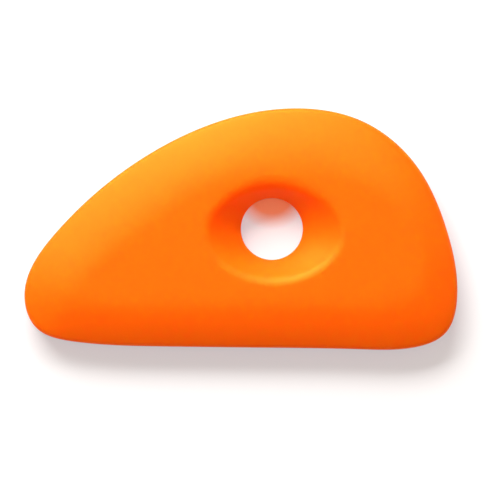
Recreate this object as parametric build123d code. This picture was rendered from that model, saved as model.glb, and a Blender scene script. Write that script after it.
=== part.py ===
from build123d import *
from math import atan2, tan
import os

# A soft pottery rib, moulded in one piece and lying flat, in millimetres.
# X runs from the narrow nose to the broad heel, Y from the nearly straight base
# edge to the curved crest, Z up. The origin is on the underside, in the middle
# of the rib's length and width.

# Whole rib
rib_length = 127.0
rib_width = 71.0
rib_thickness = 12.0
side_height = 7.7  # upright side, from the underside to where the crown starts
crown_power = 1.55  # how full the crown is: 1 is a straight slope up to the flat top, 2 an even curve
rim_rounding = 1.6  # where the side turns into the crown
foot_rounding = 0.9  # where the side turns into the underside

# Finger hole
hole_diameter = 18.2
hole_wall = 3.4  # from the underside to the bottom of the dish
hole_to_heel = 54.4  # from the hole's centre to the heel end
hole_to_base = 35.5  # from the hole's centre to the base edge

# Oval dish that leads into the hole from above
dish_length = 39.5
dish_width = 27.2
dish_past_hole = 0.8  # the dish's centre lies this much nearer the heel than the hole's
dish_under_hole = 1.3  # and this much nearer the base edge
lip_rounding = 4.5  # where the dish turns into the flat top

# Flat land on top
crown_from_nose = 17.9  # how far the crown reaches in from the nose before the land starts
crown_from_heel = 11.6  # the same from the heel
land_to_crest = 0.6  # land between the rounded lip and the crown, towards the crest
land_to_base = 4.3  # the same towards the base edge

crown_sections = 6  # cross-sections that the crown is lofted through
overrun = 1.0  # how far a cut runs past the surface that it opens
level_slack = 0.001  # how far from a height an edge still counts as lying at it

# Outline seen from above, anticlockwise from the nose, as shares of half the
# rib's length and of half its width
outline_shares = [
    (-1.000, -0.593),
    (-0.945, -0.822),
    (-0.780, -0.930),
    (-0.400, -0.971),
    (0.100, -0.982),
    (0.560, -0.996),
    (0.800, -0.981),
    (0.945, -0.865),
    (1.000, -0.553),
    (0.957, -0.043),
    (0.807, 0.533),
    (0.555, 0.896),
    (0.250, 0.997),
    (-0.062, 0.911),
    (-0.500, 0.531),
    (-0.843, -0.007),
]

# Edge of the flat land, point for point with the outline, as shares of half the
# land's own length and of half its width
land_shares = [
    (-1.000, -0.810),
    (-0.962, -0.911),
    (-0.846, -0.975),
    (-0.538, -1.000),
    (0.077, -1.000),
    (0.615, -1.000),
    (0.820, -0.968),
    (0.936, -0.854),
    (1.000, -0.600),
    (0.987, -0.063),
    (0.846, 0.538),
    (0.615, 0.854),
    (0.269, 1.000),
    (-0.103, 0.918),
    (-0.526, 0.348),
    (-0.859, -0.316),
]


hole = Vector(rib_length / 2 - hole_to_heel, hole_to_base - rib_width / 2, 0)
dish = hole + Vector(dish_past_hole, -dish_under_hole, 0)


def placed(shares, length, width, middle):
    """Points of a closed curve, from shares of half its length and half its width."""
    return [middle + Vector(x * length / 2, y * width / 2) for x, y in shares]


def running_lengths(points):
    """Distance along a closed run of points, up to each of them and back to the first."""
    lengths = [0.0]
    for here, ahead in zip(points, points[1:] + points[:1]):
        lengths.append(lengths[-1] + (ahead - here).length)
    return lengths


def closed_wire(points, parameters):
    """Smooth closed curve through the points, which follow each other at those parameters."""
    return Wire([Edge.make_spline(points, periodic=True, parameters=parameters)])


def lip_reach(run):
    """How far the rounded lip reaches over the flat land, where the dish's wall has that run."""
    slope = atan2(rib_thickness - hole_wall, run)
    return lip_rounding * tan(slope / 2)


def land_points():
    """Edge of the flat land round the dish."""
    run = (dish_width - hole_diameter) / 2
    low_x = crown_from_nose - rib_length / 2
    high_x = rib_length / 2 - crown_from_heel
    low_y = dish.Y - dish_width / 2 - lip_reach(run + dish_under_hole) - land_to_base
    high_y = dish.Y + dish_width / 2 + lip_reach(run - dish_under_hole) + land_to_crest
    middle = Vector((low_x + high_x) / 2, (low_y + high_y) / 2)
    return placed(land_shares, high_x - low_x, high_y - low_y, middle)


def make_slab(outline, parameters):
    """Lower part of the rib, with its upright side."""
    return Solid.extrude(Face(closed_wire(outline, parameters)), Vector(0, 0, side_height))


def make_crown(outline, land, parameters):
    """Upper part of the rib, which rises from the side and runs out level at the land."""
    wires = []
    for step in range(crown_sections):
        inward = step / (crown_sections - 1)
        fullness = 1 - (1 - inward) ** crown_power
        height = Vector(0, 0, side_height + (rib_thickness - side_height) * fullness)
        points = [edge + (flat - edge) * inward + height for edge, flat in zip(outline, land)]
        wires.append(closed_wire(points, parameters))
    return Solid.make_loft(wires)


def make_dish_cut():
    """Space of the oval dish, from the top of the hole's wall up through the flat land."""
    depth = rib_thickness - hole_wall
    spread = (depth + overrun) / depth
    long_radius = hole_diameter / 2 + (dish_length - hole_diameter) / 2 * spread
    short_radius = hole_diameter / 2 + (dish_width - hole_diameter) / 2 * spread
    oval_centre = hole + (dish - hole) * spread + Vector(0, 0, rib_thickness + overrun)
    round_end = Plane(hole + Vector(0, 0, hole_wall)) * Circle(hole_diameter / 2)
    oval_end = Plane(oval_centre) * Ellipse(long_radius, short_radius)
    return Solid.make_loft([round_end.face().outer_wire(), oval_end.face().outer_wire()], ruled=True)


def make_hole_cut():
    """Space of the finger hole, right through the web under the dish."""
    bottom = Plane(hole - Vector(0, 0, overrun))
    return Solid.make_cylinder(hole_diameter / 2, hole_wall + overrun + overrun, bottom)


def edges_at(body, height):
    """Edges of the body that lie level at one height."""
    return body.edges().filter_by_position(Axis.Z, height - level_slack, height + level_slack)


def lip_edges(body):
    """Edges of the body where the dish's wall meets the top."""
    foot = hole - Vector(0, hole_diameter / 2, -hole_wall)
    brim = dish - Vector(0, dish_width / 2, -rib_thickness)
    on_wall = (foot + brim) / 2
    wall = body.faces().sort_by(lambda face: face.distance_to(on_wall))[0]
    return [edge for edge in wall.edges() if edge.center().Z > on_wall.Z + level_slack]


def make_rib():
    """The whole rib: slab and crown in one, rounded, with the dish and the hole cut out."""
    outline = placed(outline_shares, rib_length, rib_width, Vector(0, 0, 0))
    parameters = running_lengths(outline)
    body = make_slab(outline, parameters) + make_crown(outline, land_points(), parameters)
    body = body.solid().fillet(rim_rounding, edges_at(body, side_height))
    body = (body - make_dish_cut() - make_hole_cut()).solid()
    body = body.fillet(lip_rounding, lip_edges(body))
    return body.fillet(foot_rounding, edges_at(body, 0))


os.makedirs("parts", exist_ok=True)
rib_body = make_rib()
export_step(rib_body, "parts/rib_body.step")
box = rib_body.bounding_box()
print("rib_body", round(rib_body.volume), "mm3", box.size)
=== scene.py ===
from math import atan, cos, radians, sin, tan

import bmesh
import bpy
import numpy as np
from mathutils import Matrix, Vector


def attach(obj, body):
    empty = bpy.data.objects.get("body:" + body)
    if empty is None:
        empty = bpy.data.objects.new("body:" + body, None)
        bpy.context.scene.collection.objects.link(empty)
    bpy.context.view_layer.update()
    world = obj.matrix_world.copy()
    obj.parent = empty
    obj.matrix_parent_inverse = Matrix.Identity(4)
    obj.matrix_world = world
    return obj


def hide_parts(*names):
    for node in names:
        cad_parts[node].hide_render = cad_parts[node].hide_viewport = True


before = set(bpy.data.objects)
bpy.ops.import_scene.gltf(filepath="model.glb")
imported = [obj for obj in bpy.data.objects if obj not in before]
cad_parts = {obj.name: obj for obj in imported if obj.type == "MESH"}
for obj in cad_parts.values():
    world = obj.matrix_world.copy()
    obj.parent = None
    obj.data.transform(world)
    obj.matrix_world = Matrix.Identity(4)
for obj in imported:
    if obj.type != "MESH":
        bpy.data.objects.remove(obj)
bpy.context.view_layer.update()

# Soft pottery rib, one silicone moulding lying flat. Metres, in the CAD frame.

mm = 0.001
plainWhite = (1, 1, 1, 1)

rib = {  # mm, where nothing else is said
    "length": 127.0, "width": 71.0, "thickness": 12.0,
    "sideHeight": 7.7,  # upright side, up to where the crown starts
    "crownPower": 1.55,  # 1 is a straight slope up to the flat top, 2 an even curve
    "rimRounding": 1.6, "rimTurn": 70.0, "rimSteps": 4,  # side into crown, which turns by so many degrees
    "footRounding": 0.9, "footSteps": 3,
    "holeSize": 18.2, "holeWall": 3.4,
    "holeToHeel": 54.4, "holeToBase": 35.5,
    "throatRounding": 0.5, "throatSteps": 2,  # where the dish meets the hole's wall
    "dishLength": 39.5, "dishWidth": 27.2,
    "dishPastHole": 0.8, "dishUnderHole": 1.3,
    "lipRounding": 4.5,  # where the dish turns into the flat top
    "crownFromNose": 17.9, "crownFromHeel": 11.6,  # how far the crown reaches in from both ends
    "landToCrest": 0.6, "landToBase": 4.3,  # flat top outside the rounded lip
    "around": 144,  # points round each ring
    "crownRings": 8, "lipRings": 6, "dishRings": 2,
    "underRing": 0.5,  # where the underside is closed, as a share of the way from the hole to the outline
    "weld": 0.001, "smoothing": 2,
}

# seen from above, anticlockwise from the nose, as shares of half the length and half the width
outlineShares = [
    (-1.000, -0.593), (-0.945, -0.822), (-0.780, -0.930), (-0.400, -0.971),
    (0.100, -0.982), (0.560, -0.996), (0.800, -0.981), (0.945, -0.865),
    (1.000, -0.553), (0.957, -0.043), (0.807, 0.533), (0.555, 0.896),
    (0.250, 0.997), (-0.062, 0.911), (-0.500, 0.531), (-0.843, -0.007),
]
landShares = [  # the flat top's edge, point for point with the outline
    (-1.000, -0.810), (-0.962, -0.911), (-0.846, -0.975), (-0.538, -1.000),
    (0.077, -1.000), (0.615, -1.000), (0.820, -0.968), (0.936, -0.854),
    (1.000, -0.600), (0.987, -0.063), (0.846, 0.538), (0.615, 0.854),
    (0.269, 1.000), (-0.103, 0.918), (-0.526, 0.348), (-0.859, -0.316),
]


def runningLengths(points):
    steps = np.linalg.norm(np.roll(points, -1, axis=0) - points, axis=1)
    return np.concatenate([[0.0], np.cumsum(steps)])


def smoothLoop(points, marks, where):  # closed curve through the points, read at the marks in where
    count, gaps = len(points), np.diff(marks)
    slopes = (np.roll(points, -1, axis=0) - points) / gaps[:, None]
    system = np.zeros((count, count))
    for k in range(count):
        system[k, k - 1] += gaps[k - 1]
        system[k, k] += 2 * (gaps[k - 1] + gaps[k])
        system[k, (k + 1) % count] += gaps[k]
    bends = np.linalg.solve(system, 6 * (slopes - np.roll(slopes, 1, axis=0)))
    k = np.clip(np.searchsorted(marks, where, side="right") - 1, 0, count - 1)
    n, gap = (k + 1) % count, gaps[k][:, None]
    left, right = (marks[k + 1] - where)[:, None], (where - marks[k])[:, None]
    return (
        (bends[k] * left**3 + bends[n] * right**3) / (6 * gap)
        + (points[k] / gap - bends[k] * gap / 6) * left
        + (points[n] / gap - bends[n] * gap / 6) * right
    )


def holeAndDish():  # their centres
    r = rib
    hole = np.array([r["length"] / 2 - r["holeToHeel"], r["holeToBase"] - r["width"] / 2])
    dish = hole + np.array([r["dishPastHole"], -r["dishUnderHole"]])
    return hole, dish


def wallSlope(run):  # of the dish's wall, where it goes that far outwards
    return atan((rib["thickness"] - rib["holeWall"]) / run)


def lipReach(run):  # how far the rounded lip reaches over the flat top there
    return rib["lipRounding"] * tan(wallSlope(run) / 2)


def ribCurves():  # outline and edge of the flat top, point for point
    r = rib
    _, dish = holeAndDish()
    half, run = r["dishWidth"] / 2, (r["dishWidth"] - r["holeSize"]) / 2
    toBase = half + lipReach(run + r["dishUnderHole"]) + r["landToBase"]
    toCrest = half + lipReach(run - r["dishUnderHole"]) + r["landToCrest"]
    low = np.array([r["crownFromNose"] - r["length"] / 2, dish[1] - toBase])
    high = np.array([r["length"] / 2 - r["crownFromHeel"], dish[1] + toCrest])
    outline = np.array(outlineShares) * [r["length"] / 2, r["width"] / 2]
    land = np.array(landShares) * (high - low) / 2 + (high + low) / 2
    marks = runningLengths(outline)
    where = np.linspace(0, marks[-1], r["around"], endpoint=False)
    return smoothLoop(outline, marks, where), smoothLoop(land, marks, where)


def wallSection(turn):  # hole's edge and dish's edge, in the direction turn from the hole
    r = rib
    hole, dish = holeAndDish()
    ray = np.array([cos(turn), sin(turn)])
    half = np.array([r["dishLength"], r["dishWidth"]]) / 2
    at, out = (hole - dish) / half, ray / half  # ray meets the oval
    a, b, c = out @ out, at @ out, at @ at - 1
    reach = (-b + (b * b - a * c) ** 0.5) / a
    return hole + ray * r["holeSize"] / 2, hole + ray * reach


def lipPoints(turn):  # section of the rounded lip, from the flat top down to the dish's wall
    r = rib
    inner, edge = wallSection(turn)
    run = np.linalg.norm(edge - inner)
    out = (edge - inner) / run
    slope, radius = wallSlope(run), r["lipRounding"]
    start = edge + out * lipReach(run)
    points = []
    for k in range(r["lipRings"]):
        lean = slope * k / (r["lipRings"] - 1)
        flat = start - out * radius * sin(lean)
        points.append((*flat, r["thickness"] - radius * (1 - cos(lean))))
    return points


def level(flat, height):
    return np.column_stack([flat, np.full(len(flat), height)])


def ribRings():  # from the middle of the underside outwards, over the top and down through the hole
    r = rib
    outline, land = ribCurves()
    hole, _ = holeAndDish()
    turns = [float(np.arctan2(*(p - hole)[::-1])) for p in land]
    bore = np.array([wallSection(turn)[0] for turn in turns])
    under = bore + (outline - bore) * r["underRing"]
    rings = [level(under, 0), level(outline, 0), level(outline, r["sideHeight"])]
    for k in range(1, r["crownRings"] + 1):  # crown, level where it meets the flat top
        t = k / r["crownRings"]
        rise = (r["thickness"] - r["sideHeight"]) * (1 - (1 - t) ** r["crownPower"])
        rings.append(level(outline + (land - outline) * t, r["sideHeight"] + rise))
    lips = np.array([lipPoints(turn) for turn in turns])
    rings.append((rings[-1] + lips[:, 0]) / 2)
    rings += [lips[:, k] for k in range(r["lipRings"])]
    mouth = level(bore, r["holeWall"])
    for k in range(1, r["dishRings"] + 1):
        rings.append(lips[:, -1] + (mouth - lips[:, -1]) * k / (r["dishRings"] + 1))
    return rings + [mouth, level(bore, 0), rings[0]]  # and back to the middle of the underside


def sweepRings(bm, rings):  # a band of faces from each ring to the next, gives the edges of every ring
    bmesh.ops.create_circle(bm, segments=len(rings[0]), radius=1.0)
    loop = list(bm.verts)
    for vert, place in zip(loop, rings[0]):
        vert.co = Vector(place) * mm
    corners = [list(bm.edges)]
    for ring in rings[1:]:
        made = bmesh.ops.extrude_edge_only(bm, edges=corners[-1])["geom"]
        corners.append([g for g in made if isinstance(g, bmesh.types.BMEdge)])
        fresh = {g for g in made if isinstance(g, bmesh.types.BMVert)}
        loop = [next(e.other_vert(v) for e in v.link_edges if e.other_vert(v) in fresh) for v in loop]
        for vert, place in zip(loop, ring):
            vert.co = Vector(place) * mm
    return corners


def makeRib():
    r = rib
    bm = bmesh.new()
    corners = sweepRings(bm, ribRings())
    bmesh.ops.remove_doubles(bm, verts=bm.verts, dist=r["weld"] * mm)  # closes the underside
    bmesh.ops.recalc_face_normals(bm, faces=bm.faces)
    rim = r["rimRounding"] * tan(radians(r["rimTurn"] / 2))
    roundings = (  # ring by ring: outline's foot, rim, throat, hole's foot
        (1, r["footRounding"], r["footSteps"]), (2, rim, r["rimSteps"]),
        (-3, r["throatRounding"], r["throatSteps"]), (-2, r["footRounding"], r["footSteps"]),
    )
    for corner, rounding, steps in roundings:
        bmesh.ops.bevel(bm, geom=corners[corner], offset=rounding * mm, offset_type="OFFSET", affect="EDGES",
                        segments=steps, profile=0.5, material=-1, clamp_overlap=False)
    mesh = bpy.data.meshes.new("siliconeRib")
    for face in bm.faces:
        face.smooth = True
    bm.to_mesh(mesh)
    bm.free()
    piece = bpy.data.objects.new("siliconeRib", mesh)
    bpy.context.scene.collection.objects.link(piece)
    smooth = piece.modifiers.new("smooth", "SUBSURF")
    smooth.levels = smooth.render_levels = r["smoothing"]
    return piece


silicone = {
    "light": (1.0, 0.152, 0.0005, 1), "deep": (0.99, 0.143, 0.0005, 1),
    "patchSize": 45.0, "patchDetail": 3.0,  # noise scale, higher is finer
    "glow": 1.0, "glowReach": 9.0, "glowSpread": (1.0, 0.22, 0.05),  # mm that light reaches under the skin
    "roughLow": 0.51, "roughHigh": 0.57,
    "shine": 1.0, "bend": 1.42, "shineTint": (1.0, 1.0, 0.12, 1),  # bend is the refractive index
    "grainScale": 2600.0, "grainDetail": 2.0,
    "grainHeight": 0.02, "grainStrength": 0.25,  # mm, and the share of it that shows
}


def siliconeFinish():
    s = silicone
    finish = bpy.data.materials.new("orangeSilicone")
    finish.use_nodes = True
    nodes, links = finish.node_tree.nodes, finish.node_tree.links
    skin = nodes["Principled BSDF"]
    place = nodes.new("ShaderNodeTexCoord")
    patches = nodes.new("ShaderNodeTexNoise")
    patches.inputs["Scale"].default_value = s["patchSize"]
    patches.inputs["Detail"].default_value = s["patchDetail"]
    links.new(place.outputs["Object"], patches.inputs["Vector"])
    blend = nodes.new("ShaderNodeMix")
    blend.data_type = "RGBA"
    blend.inputs["A"].default_value, blend.inputs["B"].default_value = s["light"], s["deep"]
    links.new(patches.outputs["Fac"], blend.inputs["Factor"])
    links.new(blend.outputs["Result"], skin.inputs["Base Color"])
    grain = nodes.new("ShaderNodeTexNoise")
    grain.inputs["Scale"].default_value = s["grainScale"]
    grain.inputs["Detail"].default_value = s["grainDetail"]
    links.new(place.outputs["Object"], grain.inputs["Vector"])
    satin = nodes.new("ShaderNodeMapRange")
    satin.inputs["To Min"].default_value, satin.inputs["To Max"].default_value = s["roughLow"], s["roughHigh"]
    links.new(grain.outputs["Fac"], satin.inputs["Value"])
    links.new(satin.outputs["Result"], skin.inputs["Roughness"])
    bump = nodes.new("ShaderNodeBump")
    bump.inputs["Strength"].default_value = s["grainStrength"]
    bump.inputs["Distance"].default_value = s["grainHeight"] * mm
    links.new(grain.outputs["Fac"], bump.inputs["Height"])
    links.new(bump.outputs["Normal"], skin.inputs["Normal"])
    skin.inputs["Specular IOR Level"].default_value = s["shine"]
    skin.inputs["IOR"].default_value = s["bend"]
    skin.inputs["Specular Tint"].default_value = s["shineTint"]
    skin.inputs["Subsurface Weight"].default_value = s["glow"]
    skin.inputs["Subsurface Scale"].default_value = s["glowReach"] * mm
    skin.inputs["Subsurface Radius"].default_value = s["glowSpread"]
    return finish


ribPiece = makeRib()
ribPiece.data.materials.append(siliconeFinish())
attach(ribPiece, "root")
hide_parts("rib_body")
print("rib made:", len(ribPiece.data.polygons), "faces before smoothing")


table = {
    "size": 3.0,  # metres
    "colour": (0.58, 0.58, 0.58, 1),
    "lift": (0.26, 0.4, 0.47, 1),  # added for camera rays only, so that the table shows white
    "paintedHoleLightAndShade": (0.32, 0.04, 0.02, 1),  # painted red light and painted shade on the table in the hole, for camera rays only instead of the lift: red stands in for light through the soft wall, and there is less green and blue than the lift
    "paintedPatchUp": 11.0, "paintedPatchSize": 6.4, "paintedPatchEdge": 5.0,  # mm: crestwards from the hole's centre, radius, fade, of that patch of painted light and shade
    "farFrom": 95.0, "farTo": 260.0,  # mm from the rib's middle, where the table fades to plain white
}


def tableFinish():
    finish = bpy.data.materials.new("whiteTable")
    finish.use_nodes = True
    nodes, links = finish.node_tree.nodes, finish.node_tree.links
    nodes.clear()
    rays = nodes.new("ShaderNodeLightPath")
    paint = nodes.new("ShaderNodeBsdfDiffuse")
    paint.inputs["Color"].default_value = table["colour"]
    white = nodes.new("ShaderNodeEmission")
    # painted shade and red light on the table in the hole: round a point crestwards of the hole's centre,
    # camera rays get the hole's painted colour instead of the lift
    hole, _ = holeAndDish()
    place = nodes.new("ShaderNodeTexCoord")
    away = nodes.new("ShaderNodeVectorMath")
    away.operation = "DISTANCE"
    away.inputs[1].default_value = Vector((hole[0], hole[1] + table["paintedPatchUp"], 0)) * mm
    links.new(place.outputs["Object"], away.inputs[0])
    outside = nodes.new("ShaderNodeMapRange")
    outside.inputs["From Min"].default_value = table["paintedPatchSize"] * mm
    outside.inputs["From Max"].default_value = (table["paintedPatchSize"] + table["paintedPatchEdge"]) * mm
    links.new(away.outputs["Value"], outside.inputs["Value"])
    shade = nodes.new("ShaderNodeMix")
    shade.data_type = "RGBA"
    shade.inputs["A"].default_value, shade.inputs["B"].default_value = table["paintedHoleLightAndShade"], table["lift"]
    links.new(outside.outputs["Result"], shade.inputs["Factor"])
    reach = nodes.new("ShaderNodeVectorMath")
    reach.operation = "LENGTH"
    links.new(place.outputs["Object"], reach.inputs[0])
    far = nodes.new("ShaderNodeMapRange")
    far.inputs["From Min"].default_value = table["farFrom"] * mm
    far.inputs["From Max"].default_value = table["farTo"] * mm
    links.new(reach.outputs["Value"], far.inputs["Value"])
    plain = nodes.new("ShaderNodeMix")
    plain.data_type = "RGBA"
    links.new(shade.outputs["Result"], plain.inputs["A"])
    plain.inputs["B"].default_value = plainWhite
    links.new(far.outputs["Result"], plain.inputs["Factor"])
    links.new(plain.outputs["Result"], white.inputs["Color"])
    links.new(rays.outputs["Is Camera Ray"], white.inputs["Strength"])
    both = nodes.new("ShaderNodeAddShader")
    links.new(paint.outputs[0], both.inputs[0])
    links.new(white.outputs[0], both.inputs[1])
    out = nodes.new("ShaderNodeOutputMaterial")
    links.new(both.outputs[0], out.inputs["Surface"])
    return finish


def makeTable():
    bm = bmesh.new()
    bmesh.ops.create_grid(bm, x_segments=1, y_segments=1, size=table["size"] / 2)
    mesh = bpy.data.meshes.new("tableTop")
    bm.to_mesh(mesh)
    bm.free()
    top = bpy.data.objects.new("tableTop", mesh)
    top.data.materials.append(tableFinish())
    bpy.context.scene.collection.objects.link(top)


studio = {
    "away": 0.76,  # of both soft boxes, in metres
    "keyTurn": 18.0, "keyLift": 38.5,  # degrees: from the picture's top towards its left, above the table
    "keyWide": 0.69, "keyTall": 0.3, "keyPower": 9.7,  # metres, metres, watts
    "lowTurn": 23.0, "lowLift": 16.0, "lowWide": 0.6, "lowTall": 0.12, "lowPower": 2.3,
    "fillRed": 0.66, "fillGreen": 0.33, "fillBlue": 0.17,  # even light from all round, warm off the rib
    "surround": 0.2,  # how white the room shows in the gloss
}


def softBox(name, turn, lift, wide, tall, power):
    turn, lift = radians(turn), radians(lift)
    towards = Vector((-sin(turn) * cos(lift), cos(turn) * cos(lift), sin(lift)))
    lamp = bpy.data.lights.new(name, "AREA")
    lamp.shape, lamp.size, lamp.size_y = "RECTANGLE", wide, tall
    lamp.energy = power
    box = bpy.data.objects.new(name, lamp)
    box.location = towards * studio["away"]
    box.rotation_mode = "QUATERNION"
    box.rotation_quaternion = towards.to_track_quat("Z", "Y")
    box.visible_camera = False
    bpy.context.scene.collection.objects.link(box)


def lightStudio():
    s = studio
    softBox("keyBox", s["keyTurn"], s["keyLift"], s["keyWide"], s["keyTall"], s["keyPower"])
    softBox("lowBox", s["lowTurn"], s["lowLift"], s["lowWide"], s["lowTall"], s["lowPower"])
    world = bpy.data.worlds.new("studio")
    world.use_nodes = True
    nodes, links = world.node_tree.nodes, world.node_tree.links
    nodes.clear()
    rays = nodes.new("ShaderNodeLightPath")
    gloss = nodes.new("ShaderNodeMix")
    gloss.data_type = "RGBA"
    gloss.inputs["A"].default_value = (s["fillRed"], s["fillGreen"], s["fillBlue"], 1)
    gloss.inputs["B"].default_value = (s["surround"], s["surround"], s["surround"], 1)
    links.new(rays.outputs["Is Glossy Ray"], gloss.inputs["Factor"])
    shade = nodes.new("ShaderNodeMix")  # white to the camera
    shade.data_type = "RGBA"
    links.new(gloss.outputs["Result"], shade.inputs["A"])
    shade.inputs["B"].default_value = plainWhite
    links.new(rays.outputs["Is Camera Ray"], shade.inputs["Factor"])
    sky = nodes.new("ShaderNodeBackground")
    links.new(shade.outputs["Result"], sky.inputs["Color"])
    out = nodes.new("ShaderNodeOutputWorld")
    links.new(sky.outputs[0], out.inputs["Surface"])
    bpy.context.scene.world = world


shot = {
    "midX": 2.67, "midY": -6.21, "acrossFrame": 147.0,  # mm, in the plane that the frame is measured in
    "away": 900.0, "plane": 4.0,  # mm, from the lens to that plane, and that plane above the table
    "sensor": 36.0, "near": 0.01, "far": 20.0,
}


def makeCamera():
    p = shot
    lens = bpy.data.cameras.new("overhead")
    lens.sensor_width = p["sensor"]
    lens.lens = p["sensor"] * p["away"] / p["acrossFrame"]
    lens.clip_start, lens.clip_end = p["near"], p["far"]
    overhead = bpy.data.objects.new("overhead", lens)
    overhead.location = Vector((p["midX"], p["midY"], p["away"] + p["plane"])) * mm
    bpy.context.scene.collection.objects.link(overhead)
    bpy.context.scene.camera = overhead


makeTable()
print("table laid")
lightStudio()
print("two soft boxes and the fill set up")
makeCamera()
bpy.context.scene.view_settings.view_transform = "Standard"
print("camera overhead")
